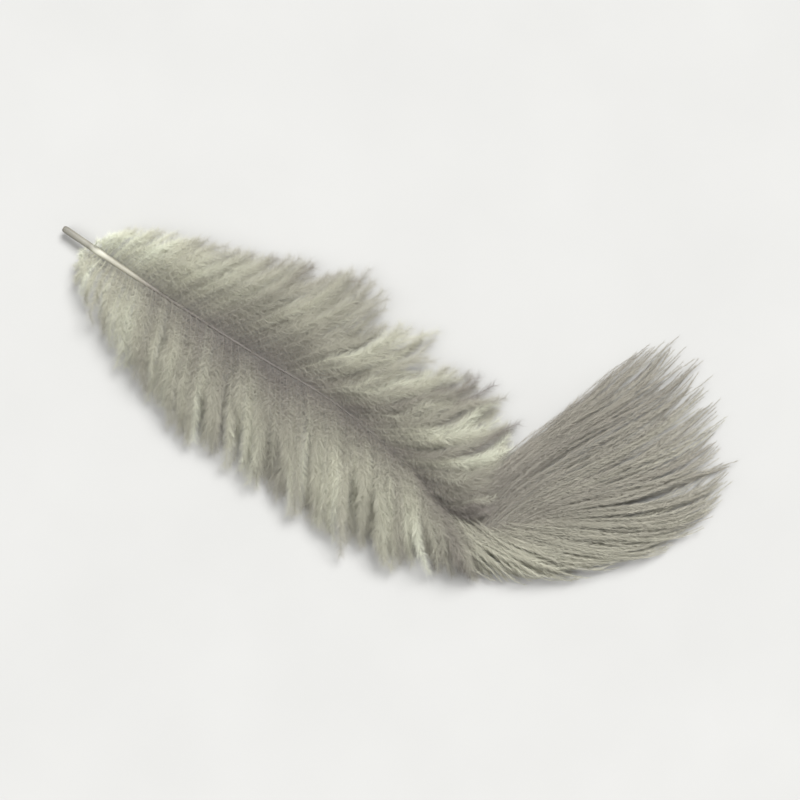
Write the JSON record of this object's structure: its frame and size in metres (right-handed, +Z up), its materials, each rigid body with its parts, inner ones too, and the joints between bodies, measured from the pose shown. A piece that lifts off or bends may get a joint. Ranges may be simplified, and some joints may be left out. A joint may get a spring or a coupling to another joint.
{
  "type": "marabou feather",
  "caption": "Grey marabou feather lying flat: a pale horn quill and tapering shaft, a soft downy vane on each side, and a fine plume fanned sideways at the bent tip.",
  "frame": {"origin": "on the surface that the feather lies on, under the middle of its box", "axes": "+X along the shaft from the quill end towards the tip, +Y towards the left vane, +Z up from the surface"},
  "size_m": [0.1022, 0.0504, 0.0066],
  "materials": {
    "horn": "satin",
    "grey_down": "matte",
    "plume_down": "matte"
  },
  "bodies": {
    "root": {"shaft": "horn", "left_vane": "grey_down", "right_vane": "grey_down", "tip_plume": "plume_down"}
  },
  "joints": []
}
